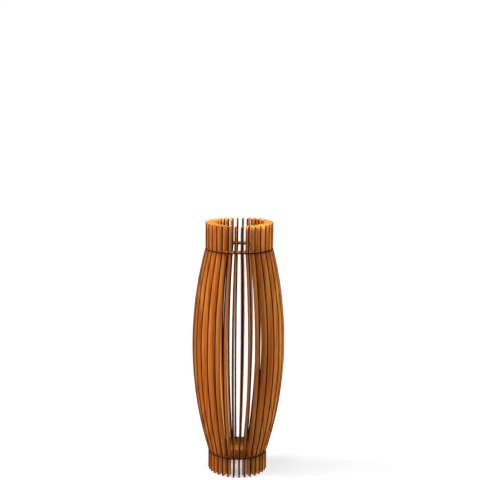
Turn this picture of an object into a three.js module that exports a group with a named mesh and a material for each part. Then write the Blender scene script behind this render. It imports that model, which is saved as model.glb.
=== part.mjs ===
// Slatted floor vase: upright sheet fins halved into a neck ring and a base disc.
// Millimetres, +Z up, floor at z = 0, the vase's axis on the Z axis, fin_01 towards -Y.
import * as THREE from "three";

// Driving dimensions
const FIN_COUNT = 32;
const SHEET = 3; // thickness of every sheet piece
const GAP = 0.2; // clearance on each side of a halved joint

const HEIGHT = 600; // floor to the top of the fins
const RING_Z = 539.2; // mid-plane of the neck ring
const DISC_Z = 46.2; // mid-plane of the base disc
const BELLY_Z = 289; // height of the widest point

const NECK_OUT = 79.1; // outer radius of the straight neck
const BELLY_OUT = 108.9; // outer radius at the widest point
const FOOT_OUT = 70.2; // outer radius of the straight foot
const NECK_IN = 57.3; // inner edge of the fins at the neck
const BELLY_IN = 87.6; // inner edge of the fins at the widest point
const FOOT_IN = 50.2; // inner edge of the fins at the foot
const RING_HOLE = 52; // radius of the neck ring's opening

const RING_LAP = (NECK_OUT + NECK_IN) / 2; // where notch and slot meet
const DISC_LAP = (FOOT_OUT + FOOT_IN) / 2;

const BOW_STEPS = 16; // straight runs along each bowed edge
const RIM_STEPS = 3; // straight runs of a plate's rim between two slots

const PITCH = (2 * Math.PI) / FIN_COUNT;

// Points on the circular bow through three (radius, height) points, both ends included.
function bow(a, m, b, steps) {
  const d =
    2 * (a.x * (m.y - b.y) + m.x * (b.y - a.y) + b.x * (a.y - m.y));
  const aa = a.lengthSq(),
    mm = m.lengthSq(),
    bb = b.lengthSq();
  const cx = (aa * (m.y - b.y) + mm * (b.y - a.y) + bb * (a.y - m.y)) / d;
  const cy = (aa * (b.x - m.x) + mm * (a.x - b.x) + bb * (m.x - a.x)) / d;
  const r = Math.hypot(a.x - cx, a.y - cy);
  const t0 = Math.atan2(a.y - cy, a.x - cx),
    t1 = Math.atan2(b.y - cy, b.x - cx);
  return Array.from({ length: steps + 1 }, (_, i) => {
    const t = t0 + ((t1 - t0) * i) / steps;
    return new THREE.Vector2(cx + r * Math.cos(t), cy + r * Math.sin(t));
  });
}

// One fin's outline in (radius, height), counter-clockwise.
function finShape() {
  const v = (x, y) => new THREE.Vector2(x, y);
  const half = SHEET / 2 + GAP;
  const outer = bow(
    v(FOOT_OUT, DISC_Z),
    v(BELLY_OUT, BELLY_Z),
    v(NECK_OUT, RING_Z),
    BOW_STEPS,
  );
  // The inner bow runs from just above the disc's notch to just under the ring's notch.
  const inner = bow(
    v(FOOT_IN, DISC_Z + half),
    v(BELLY_IN, BELLY_Z),
    v(NECK_IN, RING_Z - half),
    BOW_STEPS,
  ).reverse();
  return new THREE.Shape([
    v(FOOT_IN, 0),
    v(FOOT_OUT, 0),
    ...outer,
    v(NECK_OUT, HEIGHT),
    v(NECK_IN, HEIGHT),
    v(NECK_IN, RING_Z + half),
    v(RING_LAP + GAP, RING_Z + half),
    v(RING_LAP + GAP, RING_Z - half),
    ...inner,
    v(DISC_LAP + GAP, DISC_Z + half),
    v(DISC_LAP + GAP, DISC_Z - half),
    v(FOOT_IN, DISC_Z - half),
  ]);
}

// A round plate's outline with one slot per fin, cut in from its rim.
function slottedPlate(radius, slotEnd) {
  const half = SHEET / 2 + GAP;
  const lip = Math.asin(half / radius); // half angle of a slot at the rim
  const points = [];
  const at = (angle, along, across) =>
    points.push(
      new THREE.Vector2(
        along * Math.cos(angle) - across * Math.sin(angle),
        along * Math.sin(angle) + across * Math.cos(angle),
      ),
    );
  for (let k = 0; k < FIN_COUNT; k++) {
    const angle = -Math.PI / 2 + k * PITCH;
    const rim = radius * Math.cos(lip);
    at(angle, rim, -half);
    at(angle, slotEnd, -half);
    at(angle, slotEnd, half);
    at(angle, rim, half);
    const span = PITCH - 2 * lip;
    for (let i = 1; i < RIM_STEPS; i++)
      at(angle + lip + (span * i) / RIM_STEPS, radius, 0);
  }
  return new THREE.Shape(points);
}

const finWood = new THREE.MeshStandardMaterial({
  color: 0xb8692c,
  roughness: 0.45,
  metalness: 0,
});
const plateWood = new THREE.MeshStandardMaterial({
  color: 0xa8602a,
  roughness: 0.5,
  metalness: 0,
});

const vase = new THREE.Group();
vase.name = "slatted_floor_vase";

const finProfile = finShape();
for (let k = 0; k < FIN_COUNT; k++) {
  const g = new THREE.ExtrudeGeometry(finProfile, {
    depth: SHEET,
    bevelEnabled: false,
  });
  g.translate(0, 0, -SHEET / 2);
  g.rotateX(Math.PI / 2); // radius along +X, height along +Z
  g.rotateZ(-Math.PI / 2 + k * PITCH);
  const fin = new THREE.Mesh(g, finWood.clone());
  fin.name = "fin_" + String(k + 1).padStart(2, "0");
  vase.add(fin);
}

const ringShape = slottedPlate(NECK_OUT, RING_LAP - GAP);
const hole = new THREE.Path();
hole.absarc(0, 0, RING_HOLE, 0, 2 * Math.PI, true);
ringShape.holes.push(hole);
const ringGeometry = new THREE.ExtrudeGeometry(ringShape, {
  depth: SHEET,
  bevelEnabled: false,
  curveSegments: 2 * FIN_COUNT,
});
ringGeometry.translate(0, 0, RING_Z - SHEET / 2);
const ring = new THREE.Mesh(ringGeometry, plateWood);
ring.name = "neck_ring";
vase.add(ring);

const discGeometry = new THREE.ExtrudeGeometry(
  slottedPlate(FOOT_OUT, DISC_LAP - GAP),
  { depth: SHEET, bevelEnabled: false },
);
discGeometry.translate(0, 0, DISC_Z - SHEET / 2);
const disc = new THREE.Mesh(discGeometry, plateWood.clone());
disc.name = "base_disc";
vase.add(disc);

export default vase;
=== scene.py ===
# Slatted floor vase: upright charred-edge plywood fins halved into a neck ring and a base disc.
import math

import bmesh
import bpy
import numpy as np
from mathutils import Matrix, Vector


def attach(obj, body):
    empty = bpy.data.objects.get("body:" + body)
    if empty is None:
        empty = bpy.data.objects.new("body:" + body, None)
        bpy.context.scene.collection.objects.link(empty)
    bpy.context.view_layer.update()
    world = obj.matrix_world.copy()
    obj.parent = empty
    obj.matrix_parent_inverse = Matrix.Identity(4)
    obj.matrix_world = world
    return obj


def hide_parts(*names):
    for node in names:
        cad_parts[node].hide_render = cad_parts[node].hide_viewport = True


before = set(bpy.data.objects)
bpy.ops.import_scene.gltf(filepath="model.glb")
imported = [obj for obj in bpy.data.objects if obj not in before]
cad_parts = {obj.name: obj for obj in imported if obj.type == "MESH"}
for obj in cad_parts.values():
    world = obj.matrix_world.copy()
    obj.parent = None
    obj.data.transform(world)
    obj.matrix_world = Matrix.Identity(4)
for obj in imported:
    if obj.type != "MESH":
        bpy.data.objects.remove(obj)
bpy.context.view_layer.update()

MM = 0.001
# ---------------------------------------------------------------- dimensions, as in the CAD, in millimetres
FIN_COUNT = 32
SHEET = 3.0
HEIGHT = 600.0
RING_Z, DISC_Z, BELLY_Z = 539.2, 46.2, 289.0
NECK_OUT, BELLY_OUT, FOOT_OUT = 79.1, 108.9, 70.2
NECK_IN, BELLY_IN, FOOT_IN = 57.3, 87.6, 50.2
RING_HOLE = 52.0
RING_LAP = (NECK_OUT + NECK_IN) / 2
DISC_LAP = (FOOT_OUT + FOOT_IN) / 2
SLACK = 0.07  # clearance that shows as a hairline round each halved joint
ROUND = 0.22  # how far the cut edges are eased
PITCH = 2 * math.pi / FIN_COUNT
HALF = SHEET / 2 + SLACK

rng = np.random.default_rng(31)


def arc(a, m, b):
    """Radius at a height on the circle through three (radius, height) points."""
    (ax, ay), (mx, my), (bx, by) = a, m, b
    d = 2 * (ax * (my - by) + mx * (by - ay) + bx * (ay - my))
    aa, mm, bb = ax * ax + ay * ay, mx * mx + my * my, bx * bx + by * by
    cx = (aa * (my - by) + mm * (by - ay) + bb * (ay - my)) / d
    cy = (aa * (bx - mx) + mm * (ax - bx) + bb * (mx - ax)) / d
    r = math.hypot(ax - cx, ay - cy)
    return lambda z: cx + math.sqrt(max(r * r - (z - cy) ** 2, 0.0))


outer_bow = arc((FOOT_OUT, DISC_Z), (BELLY_OUT, BELLY_Z), (NECK_OUT, RING_Z))
inner_bow = arc((FOOT_IN, DISC_Z + HALF), (BELLY_IN, BELLY_Z), (NECK_IN, RING_Z - HALF))


def r_out(z):
    return FOOT_OUT if z <= DISC_Z else NECK_OUT if z >= RING_Z else outer_bow(z)


def r_in(z):
    return FOOT_IN if z <= DISC_Z + HALF else NECK_IN if z >= RING_Z - HALF else inner_bow(z)


# ---------------------------------------------------------------- mesh helpers
def smooth_by_area(mesh):
    """Vertex normals weighted by face area, so that flats stay flat and only the eased edges turn."""
    n = len(mesh.vertices)
    total = np.zeros((n, 3))
    for p in mesh.polygons:
        w = np.array(p.normal) * p.area
        for v in p.vertices:
            total[v] += w
    length = np.linalg.norm(total, axis=1, keepdims=True)
    length[length == 0] = 1
    mesh.shade_smooth()
    mesh.normals_split_custom_set_from_vertices([tuple(x) for x in total / length])


def put_floats(mesh, name, values):
    a = mesh.attributes.new(name, "FLOAT", "POINT")
    a.data.foreach_set("value", np.asarray(values, dtype=np.float32))


def put_vectors(mesh, name, values):
    a = mesh.attributes.new(name, "FLOAT_VECTOR", "POINT")
    a.data.foreach_set("vector", np.asarray(values, dtype=np.float32).ravel())


def plate_from_cells(name, points, cells, axis, ease):
    """A sheet piece: quads in a plane, given thickness along axis (1 = Y, 2 = Z) and eased along every cut edge."""
    bm = bmesh.new()
    t = SHEET / 2 * MM
    used = sorted({i for c in cells for i in c})
    place = {}
    for side in (-1, 1):
        for i in used:
            p = list(points[i])
            p.insert(axis, side * t / MM)
            place[i, side] = bm.verts.new([x * MM for x in p])
    edges = {}
    for c in cells:
        for a, b in zip(c, c[1:] + c[:1]):
            edges[(a, b)] = edges.get((a, b), 0) + 1
    for c in cells:
        bm.faces.new([place[i, 1] for i in c])
        bm.faces.new([place[i, -1] for i in reversed(c)])
    for (a, b) in edges:
        if (b, a) not in edges:
            bm.faces.new([place[b, 1], place[a, 1], place[a, -1], place[b, -1]])
    bmesh.ops.recalc_face_normals(bm, faces=bm.faces[:])
    bm.normal_update()
    sharp = [
        e for e in bm.edges
        if len(e.link_faces) == 2 and abs(e.link_faces[0].normal[axis]) > 0.9 and abs(e.link_faces[1].normal[axis]) < 0.1
        or len(e.link_faces) == 2 and abs(e.link_faces[1].normal[axis]) > 0.9 and abs(e.link_faces[0].normal[axis]) < 0.1
    ]
    bmesh.ops.bevel(bm, geom=sharp, offset=ease * MM, offset_type="OFFSET", segments=2, profile=0.5, affect="EDGES", clamp_overlap=True)
    bm.normal_update()
    for f in bm.faces:
        f.material_index = 0 if abs(f.normal[axis]) > 0.97 else 1
    mesh = bpy.data.meshes.new(name)
    bm.to_mesh(mesh)
    bm.free()
    return mesh


# ---------------------------------------------------------------- one fin
def fin_mesh():
    def run(a, b, n):
        return list(np.linspace(a, b, n + 1))[1:-1]

    lo, hi = HALF, HALF
    rows = [0, 0.8, 2.6] + run(2.6, DISC_Z - lo - 2.6, 5) + [DISC_Z - lo - 2.6, DISC_Z - lo - 0.8, DISC_Z - lo, DISC_Z, DISC_Z + lo]
    rows += [DISC_Z + lo + 0.8, DISC_Z + lo + 2.6] + run(DISC_Z + lo + 2.6, RING_Z - hi - 2.6, 84)
    rows += [RING_Z - hi - 2.6, RING_Z - hi - 0.8, RING_Z - hi, RING_Z, RING_Z + hi, RING_Z + hi + 0.8, RING_Z + hi + 2.6]
    rows += run(RING_Z + hi + 2.6, HEIGHT - 2.6, 6) + [HEIGHT - 2.6, HEIGHT - 0.8, HEIGHT]
    points, index = [], {}
    for j, z in enumerate(rows):
        a, b = r_in(z), r_out(z)
        for i, r in enumerate([a, a + 0.8, a + 2.6, (a + b) / 2, b - 2.6, b - 0.8, b]):
            index[i, j] = len(points)
            points.append((r, z))
    cells = []
    for j in range(len(rows) - 1):
        mid = (rows[j] + rows[j + 1]) / 2
        notched = abs(mid - DISC_Z) < HALF or abs(mid - RING_Z) < HALF
        for i in range(3 if notched else 0, 6):
            cells.append([index[i, j], index[i + 1, j], index[i + 1, j + 1], index[i, j + 1]])
    return plate_from_cells("fin", points, cells, 1, ROUND)


def fin_edge_distance(co):
    """How far each point of a fin's face is from the nearest cut edge, in millimetres."""
    x, z = co[:, 0] / MM, co[:, 2] / MM
    ins = np.array([r_in(v) for v in z])
    out = np.array([r_out(v) for v in z])
    d = np.minimum.reduce([x - ins, out - x, z])  # the top ends are sanded clean
    for level, lap in ((RING_Z, RING_LAP), (DISC_Z, DISC_LAP)):
        away_z = np.maximum(np.abs(z - level) - HALF, 0)
        away_x = np.maximum(x - lap, 0)
        d = np.minimum(d, np.hypot(away_z, away_x))
    return np.maximum(d, 0)


# ---------------------------------------------------------------- ring and disc
def slotted_plate(name, radius, slot_end, hole):
    points, index, cells = [], {}, []

    def add(key, x, y):
        if key not in index:
            index[key] = len(points)
            points.append((x, y))
        return index[key]

    end = slot_end - SLACK
    levels = [end, end + 0.8, end + 2.6] + list(np.linspace(end + 2.6, radius - 2.6, 4))[1:] + [radius - 0.8, radius]
    inner = [hole + 0.0, hole + 0.8, hole + 2.6] if hole else [2.0, 8.0, 16.0, 26.0, 36.0]
    inner += [v for v in np.linspace(inner[-1], end - 2.6, 4)[1:]] + [end - 0.8]
    inset = [0.0, 0.8, 2.6]

    def columns(level):
        """Angles of the columns of one sector at a radius: the slot's wall, two steps off it, the middle, and the same back."""
        out = []
        for off in inset:
            out.append(math.asin((HALF + off) / level))
        mid = PITCH / 2
        more = [out[-1] + (mid - out[-1]) * f for f in (0.5, 1.0)]
        left = out + more
        return left + [PITCH - a for a in reversed(left[:-1])]

    count = len(columns(radius))
    base = columns(end)
    for k in range(FIN_COUNT):
        start = -math.pi / 2 + k * PITCH
        for j, level in enumerate(levels):
            for i, a in enumerate(columns(level)):
                add(("o", k, i, j), level * math.cos(start + a), level * math.sin(start + a))
        for j in range(len(levels) - 1):
            for i in range(count - 1):
                cells.append([index["o", k, i, j], index["o", k, i + 1, j], index["o", k, i + 1, j + 1], index["o", k, i, j + 1]])
        for j, level in enumerate(inner):
            for i, a in enumerate(base):
                add(("i", k, i, j), level * math.cos(start + a), level * math.sin(start + a))
    top = len(inner) - 1
    for k in range(FIN_COUNT):
        n = (k + 1) % FIN_COUNT
        for i in range(count - 1):
            for j in range(top):
                cells.append([index["i", k, i, j], index["i", k, i + 1, j], index["i", k, i + 1, j + 1], index["i", k, i, j + 1]])
            cells.append([index["i", k, i, top], index["i", k, i + 1, top], index["o", k, i + 1, 0], index["o", k, i, 0]])
        last = count - 1
        for j in range(top):
            cells.append([index["i", k, last, j], index["i", n, 0, j], index["i", n, 0, j + 1], index["i", k, last, j + 1]])
        cells.append([index["i", k, last, top], index["i", n, 0, top], index["o", n, 0, 0], index["o", k, last, 0]])
    if not hole:
        cells.append([index["i", k, i, 0] for k in range(FIN_COUNT) for i in range(count)][::-1])
    # the cells run clockwise seen from +Z, so turn them over
    cells = [list(reversed(c)) for c in cells]
    return plate_from_cells(name, points, cells, 2, ROUND)


def plate_edge_distance(co, radius, slot_end, hole):
    x, y = co[:, 0] / MM, co[:, 1] / MM
    r = np.hypot(x, y)
    a = np.arctan2(y, x) + math.pi / 2
    a = (a + PITCH / 2) % PITCH - PITCH / 2
    across = np.abs(r * np.sin(a)) - HALF
    along = slot_end - r * np.cos(a)
    slot = np.hypot(np.maximum(across, 0), np.maximum(along, 0))
    d = np.minimum(radius - r, slot)
    if hole:
        d = np.minimum(d, r - hole)
    return np.maximum(d, 0)


# ---------------------------------------------------------------- material nodes
class Tree:
    def __init__(self, name):
        self.mat = bpy.data.materials.new(name)
        self.mat.use_nodes = True
        self.nt = self.mat.node_tree
        self.nt.nodes.clear()
        self.out = self.nt.nodes.new("ShaderNodeOutputMaterial")
        self.bsdf = self.nt.nodes.new("ShaderNodeBsdfPrincipled")
        self.nt.links.new(self.bsdf.outputs[0], self.out.inputs["Surface"])

    def link(self, a, b):
        self.nt.links.new(a, b)

    def put(self, socket, value):
        if isinstance(value, bpy.types.NodeSocket):
            self.link(value, socket)
        else:
            socket.default_value = value

    def attribute(self, name, output="Fac"):
        n = self.nt.nodes.new("ShaderNodeAttribute")
        n.attribute_type = "GEOMETRY"
        n.attribute_name = name
        return n.outputs[output]

    def math(self, op, a, b=0.0, c=0.0, clamp=False):
        n = self.nt.nodes.new("ShaderNodeMath")
        n.operation = op
        n.use_clamp = clamp
        for s, v in zip(n.inputs, (a, b, c)):
            self.put(s, v)
        return n.outputs[0]

    def vec(self, op, a, b=(0, 0, 0)):
        n = self.nt.nodes.new("ShaderNodeVectorMath")
        n.operation = op
        self.put(n.inputs[0], a)
        self.put(n.inputs[1], b)
        return n.outputs[0]

    def noise(self, vector, scale, detail=2.0, rough=0.5, distortion=0.0, output="Fac"):
        n = self.nt.nodes.new("ShaderNodeTexNoise")
        n.inputs["Scale"].default_value = scale
        n.inputs["Detail"].default_value = detail
        n.inputs["Roughness"].default_value = rough
        n.inputs["Distortion"].default_value = distortion
        self.link(vector, n.inputs["Vector"])
        return n.outputs[output]

    def ramp(self, fac, *stops):
        n = self.nt.nodes.new("ShaderNodeValToRGB")
        e = n.color_ramp.elements
        while len(e) < len(stops):
            e.new(0.5)
        for el, (pos, col) in zip(e, stops):
            el.position = pos
            el.color = (*col, 1) if len(col) == 3 else col
        self.link(fac, n.inputs["Fac"])
        return n.outputs["Color"]

    def span(self, value, a, b, c=0.0, d=1.0, smooth=False):
        n = self.nt.nodes.new("ShaderNodeMapRange")
        n.interpolation_type = "SMOOTHSTEP" if smooth else "LINEAR"
        n.clamp = True
        for key, v in (("From Min", a), ("From Max", b), ("To Min", c), ("To Max", d)):
            n.inputs[key].default_value = v
        self.link(value, n.inputs["Value"])
        return n.outputs["Result"]

    def mix(self, fac, a, b, blend="MIX"):
        n = self.nt.nodes.new("ShaderNodeMix")
        n.data_type = "RGBA"
        n.blend_type = blend
        n.clamp_factor = True
        fs, sa, sb = n.inputs[0], n.inputs[6], n.inputs[7]
        self.put(fs, fac)
        for s, v in ((sa, a), (sb, b)):
            self.put(s, (*v, 1) if isinstance(v, tuple) and len(v) == 3 else v)
        return n.outputs[2]

    def bump(self, height, strength, distance, normal=None):
        n = self.nt.nodes.new("ShaderNodeBump")
        n.inputs["Strength"].default_value = strength
        n.inputs["Distance"].default_value = distance
        self.link(height, n.inputs["Height"])
        if normal is not None:
            self.link(normal, n.inputs["Normal"])
        return n.outputs["Normal"]


def hexa(s):
    """Scene-linear colour of an sRGB hex colour."""
    v = [int(s[i:i + 2], 16) / 255 for i in (0, 2, 4)]
    return tuple(x / 12.92 if x <= 0.04045 else ((x + 0.055) / 1.055) ** 2.4 for x in v)


PALE, HONEY, AMBER, DEEP = hexa("D7A558"), hexa("C5873E"), hexa("AB6729"), hexa("844717")
GOLDEN = (hexa("D5A858"), hexa("C18A3D"), hexa("A56B28"), hexa("804A17"))  # the disc, slightly yellower than the fins
CHAR_RED, CHAR, CHAR_BLACK = hexa("3E1302"), hexa("260A01"), hexa("120401")


def veneer(name, pale, honey, amber, deep):
    """Stained satin face veneer: long grain along the attribute's Z, tone from the tone attribute, scorch beside each cut."""
    t = Tree(name)
    p = t.attribute("grain", "Vector")
    tone = t.attribute("tone")
    edge = t.attribute("edge")
    # broad bands of the veneer, bent slowly along the grain
    bend = t.noise(t.vec("MULTIPLY", p, (9, 9, 4.5)), 1.0, 2.0, 0.5)
    wander = t.nt.nodes.new("ShaderNodeCombineXYZ")
    t.link(t.math("MULTIPLY", bend, 0.030), wander.inputs[0])
    q = t.vec("ADD", p, wander.outputs[0])
    bands = t.noise(t.vec("MULTIPLY", q, (150, 150, 3.2)), 1.0, 3.0, 0.55)
    figure = t.noise(t.vec("MULTIPLY", q, (420, 420, 7.0)), 1.0, 3.0, 0.6)
    fibre = t.noise(t.vec("MULTIPLY", q, (1500, 1500, 26)), 1.0, 2.0, 0.6)
    pores = t.span(t.noise(t.vec("MULTIPLY", q, (1900, 1900, 75)), 1.0, 1.0, 0.5), 0.60, 0.70, smooth=True)
    blotch = t.noise(t.vec("MULTIPLY", p, (16, 16, 7)), 1.0, 3.0, 0.55)
    mixd = t.math("ADD", t.math("MULTIPLY", bands, 0.50), t.math("MULTIPLY", figure, 0.32))
    mixd = t.math("ADD", mixd, t.math("MULTIPLY", fibre, 0.18))
    mixd = t.math("ADD", mixd, t.math("MULTIPLY", t.math("SUBTRACT", blotch, 0.5), 0.16))
    mixd = t.math("ADD", mixd, t.math("MULTIPLY", tone, 0.14))
    colour = t.ramp(mixd, (0.30, deep), (0.43, amber), (0.54, honey), (0.70, pale))
    colour = t.mix(t.math("MULTIPLY", pores, 0.35), colour, deep)
    # smoke and heat beside the cut, uneven along it
    smoke = t.noise(t.vec("MULTIPLY", p, (260, 260, 60)), 1.0, 3.0, 0.6)
    reach = t.math("ADD", edge, t.math("MULTIPLY", t.math("SUBTRACT", smoke, 0.5), 1.6))
    halo = t.span(reach, 0.0, 2.6, 0.80, 0.0, smooth=True)
    colour = t.mix(halo, colour, CHAR_RED)
    t.link(colour, t.bsdf.inputs["Base Color"])
    t.link(t.math("ADD", t.span(figure, 0.3, 0.7, 0.50, 0.62), t.math("MULTIPLY", halo, 0.12)), t.bsdf.inputs["Roughness"])
    t.bsdf.inputs["Specular IOR Level"].default_value = 0.16
    height = t.math("ADD", t.math("MULTIPLY", fibre, 0.6), t.math("MULTIPLY", figure, 0.4))
    height = t.math("SUBTRACT", height, t.math("MULTIPLY", pores, 0.55))
    t.link(t.bump(height, 0.35, 0.00012), t.bsdf.inputs["Normal"])
    return t.mat


def charred(name):
    """Laser-cut edge: dark char over three plies, with the fine upright striations of the cut."""
    t = Tree(name)
    p = t.attribute("grain", "Vector")
    depth = t.attribute("ply")  # -1 to 1 across the sheet
    along = t.attribute("cut")  # metres along the cut
    line = t.nt.nodes.new("ShaderNodeCombineXYZ")
    t.link(along, line.inputs[0])
    t.link(t.math("MULTIPLY", depth, 0.0006), line.inputs[1])
    stri = t.noise(t.vec("MULTIPLY", line.outputs[0], (2600, 300, 1)), 1.0, 2.0, 0.6)
    patch = t.noise(t.vec("MULTIPLY", p, (60, 60, 22)), 1.0, 3.0, 0.55)
    ply = t.span(t.math("ABSOLUTE", depth), 0.28, 0.40, 0.0, 1.0, smooth=True)  # 0 in the core ply, 1 in the outer ones
    wood = t.mix(ply, CHAR, CHAR_RED)
    burn = t.math("ADD", t.math("MULTIPLY", stri, 0.55), t.math("MULTIPLY", patch, 0.55))
    colour = t.mix(t.span(burn, 0.38, 0.68), CHAR_BLACK, wood)
    speck = t.noise(t.vec("MULTIPLY", p, (1400, 1400, 900)), 1.0, 2.0, 0.6)
    fresh = t.mix(t.span(speck, 0.35, 0.65), t.mix(ply, AMBER, HONEY), t.mix(ply, HONEY, PALE))
    colour = t.mix(t.attribute("bare"), colour, fresh)
    t.link(colour, t.bsdf.inputs["Base Color"])
    t.link(t.span(stri, 0.3, 0.7, 0.62, 0.80), t.bsdf.inputs["Roughness"])
    t.bsdf.inputs["Specular IOR Level"].default_value = 0.06
    t.link(t.bump(t.math("ADD", t.math("MULTIPLY", stri, 0.7), t.math("MULTIPLY", ply, 0.3)), 0.4, 0.00015), t.bsdf.inputs["Normal"])
    return t.mat


fin_face, fin_edge = veneer("fin_veneer", PALE, HONEY, AMBER, DEEP), charred("fin_cut_edge")
ring_face, disc_face, plate_edge = veneer("ring_veneer", PALE, HONEY, AMBER, DEEP), veneer("disc_veneer", *GOLDEN), charred("plate_cut_edge")


def finish_piece(mesh, name, grain, tone, edge, ply, cut, bare, mats, node, matrix=None):
    put_vectors(mesh, "grain", grain)
    put_floats(mesh, "tone", np.full(len(mesh.vertices), tone))
    put_floats(mesh, "edge", edge)
    put_floats(mesh, "ply", ply)
    put_floats(mesh, "cut", cut)
    put_floats(mesh, "bare", bare)
    for m in mats:
        mesh.materials.append(m)
    o = bpy.data.objects.new(name, mesh)
    bpy.context.scene.collection.objects.link(o)
    if matrix is not None:
        o.matrix_world = matrix
    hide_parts(node)
    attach(o, "root")
    return o


def coords(mesh):
    a = np.empty(len(mesh.vertices) * 3, dtype=np.float32)
    mesh.vertices.foreach_get("co", a)
    return a.reshape(-1, 3).astype(float)


master = fin_mesh()
smooth_by_area(master)
fin_co = coords(master)
fin_distance = fin_edge_distance(fin_co)
fin_bare = (fin_co[:, 2] > (HEIGHT - 0.3) * MM).astype(float)
for k in range(FIN_COUNT):
    mesh = master.copy()
    mesh.name = "fin_%02d_mesh" % (k + 1)
    seed = rng.uniform(-20, 20, 3)
    grain = fin_co + seed
    finish_piece(
        mesh, "plywood_fin_%02d" % (k + 1), grain, rng.normal(0, 0.16), fin_distance,
        fin_co[:, 1] / (SHEET / 2 * MM), fin_co[:, 2] + fin_co[:, 0], fin_bare, (fin_face, fin_edge),
        "fin_%02d" % (k + 1),
        Matrix.Rotation(-math.pi / 2 + k * PITCH, 4, "Z"),
    )
bpy.data.meshes.remove(master)

for node, radius, lap, hole, level, plate_tone, plate_face in (
    ("neck_ring", NECK_OUT, RING_LAP, RING_HOLE, RING_Z, 0.0, ring_face),
    ("base_disc", FOOT_OUT, DISC_LAP, 0.0, DISC_Z, -1.2, disc_face),
):
    mesh = slotted_plate(node + "_mesh", radius, lap, hole)
    smooth_by_area(mesh)
    co = coords(mesh)
    grain = np.stack([co[:, 1], co[:, 2], co[:, 0]], -1) + rng.uniform(-20, 20, 3)
    finish_piece(
        mesh, "plywood_" + node, grain, plate_tone, plate_edge_distance(co, radius, lap, hole),
        co[:, 2] / (SHEET / 2 * MM), np.arctan2(co[:, 1], co[:, 0]) * radius * MM + np.hypot(co[:, 0], co[:, 1]),
        np.zeros(len(co)), (plate_face, plate_edge), node, Matrix.Translation((0, 0, level * MM)),
    )

# ---------------------------------------------------------------- stage
floor_mesh = bpy.data.meshes.new("floor")
S = 120.0
floor_mesh.from_pydata([(-S, -S, 0), (S, -S, 0), (S, S, 0), (-S, S, 0)], [], [(0, 1, 2, 3)])
floor = bpy.data.objects.new("floor", floor_mesh)
bpy.context.scene.collection.objects.link(floor)
ft = Tree("floor_paint")
coord = ft.nt.nodes.new("ShaderNodeTexCoord")
ft.link(ft.ramp(ft.noise(coord.outputs["Object"], 3.0, 3.0), (0.3, (0.27, 0.27, 0.27)), (0.7, (0.29, 0.29, 0.29))), ft.bsdf.inputs["Base Color"])
ft.bsdf.inputs["Roughness"].default_value = 0.8
ft.bsdf.inputs["Emission Color"].default_value = (1, 1, 1, 1)
ft.bsdf.inputs["Emission Strength"].default_value = 0.5  # a white table lit from below, so that it stays pale between the fins of the foot
ft.bsdf.inputs["Specular IOR Level"].default_value = 0.1
floor_mesh.materials.append(ft.mat)

world = bpy.data.worlds.new("studio")
bpy.context.scene.world = world
world.use_nodes = True
wn = world.node_tree
wn.nodes.clear()
wo = wn.nodes.new("ShaderNodeOutputWorld")
soft = wn.nodes.new("ShaderNodeBackground")
soft.inputs["Color"].default_value = (1, 1, 1, 1)
soft.inputs["Strength"].default_value = 0.1
white = wn.nodes.new("ShaderNodeBackground")
white.inputs["Color"].default_value = (1, 1, 1, 1)
white.inputs["Strength"].default_value = 1.0
path = wn.nodes.new("ShaderNodeLightPath")
pick = wn.nodes.new("ShaderNodeMixShader")
wn.links.new(path.outputs["Is Camera Ray"], pick.inputs[0])
wn.links.new(soft.outputs[0], pick.inputs[1])
wn.links.new(white.outputs[0], pick.inputs[2])
wn.links.new(pick.outputs[0], wo.inputs["Surface"])


def sun(name, azimuth, elevation, strength, spread, colour=(1, 1, 1)):
    """A soft lamp seen from the vase at an azimuth (0 = -Y, the front; 90 = +X, the right) and an elevation, in degrees."""
    lamp = bpy.data.lights.new(name, "SUN")
    lamp.energy = strength
    lamp.angle = math.radians(spread)
    lamp.color = colour
    o = bpy.data.objects.new(name, lamp)
    az, el = math.radians(azimuth), math.radians(elevation)
    to = Vector((math.sin(az) * math.cos(el), -math.cos(az) * math.cos(el), math.sin(el)))
    o.rotation_euler = (-to).to_track_quat("-Z", "Y").to_euler()
    o.location = to * 4
    bpy.context.scene.collection.objects.link(o)


def softbox(name, place, aim, size, power):
    lamp = bpy.data.lights.new(name, "AREA")
    lamp.shape = "DISK"
    lamp.size = size
    lamp.energy = power
    o = bpy.data.objects.new(name, lamp)
    o.location = place
    o.rotation_euler = (Vector(aim) - Vector(place)).to_track_quat("-Z", "Y").to_euler()
    bpy.context.scene.collection.objects.link(o)


sun("left", -94, 25, 8.3, 40)
sun("overhead", 30, 84, 0.5, 60)
sun("front", -3, 24, 0.95, 24)
sun("back", 128, 40, 2.2, 50)
softbox("key", (0.36, -0.95, 1.5), (0, 0, 0.46), 0.5, 12.5)
softbox("fill_left", (-0.40, -0.70, 1.00), (0, 0, 0.40), 0.4, 2.5)
softbox("fill_right", (0.60, -0.60, 0.90), (0, 0, 0.40), 0.4, 1.9)

# ---------------------------------------------------------------- camera, fitted to the photograph
TURN = math.radians(4.2)  # the front fin stands this far to the right of the line of sight
ASIDE, DISTANCE, EYE, TILT, ROLL, LENS_PX = 0.0014, 2.186, 0.926, 9.58, 0.57, 950.0
cam = bpy.data.cameras.new("camera")
cam.sensor_width = 36
cam.lens = LENS_PX / 480 * 36
cam.clip_end = 500
cam_ob = bpy.data.objects.new("camera", cam)
bpy.context.scene.collection.objects.link(cam_ob)
cam_ob.matrix_world = (
    Matrix.Rotation(-TURN, 4, "Z")
    @ Matrix.Translation((ASIDE, -DISTANCE, EYE))
    @ Matrix.Rotation(math.radians(90 - TILT), 4, "X")
    @ Matrix.Rotation(math.radians(ROLL), 4, "Z")
)
bpy.context.scene.camera = cam_ob
bpy.context.scene.view_settings.view_transform = "Standard"
bpy.context.scene.view_settings.look = "None"
bpy.context.scene.view_settings.gamma = 0.9
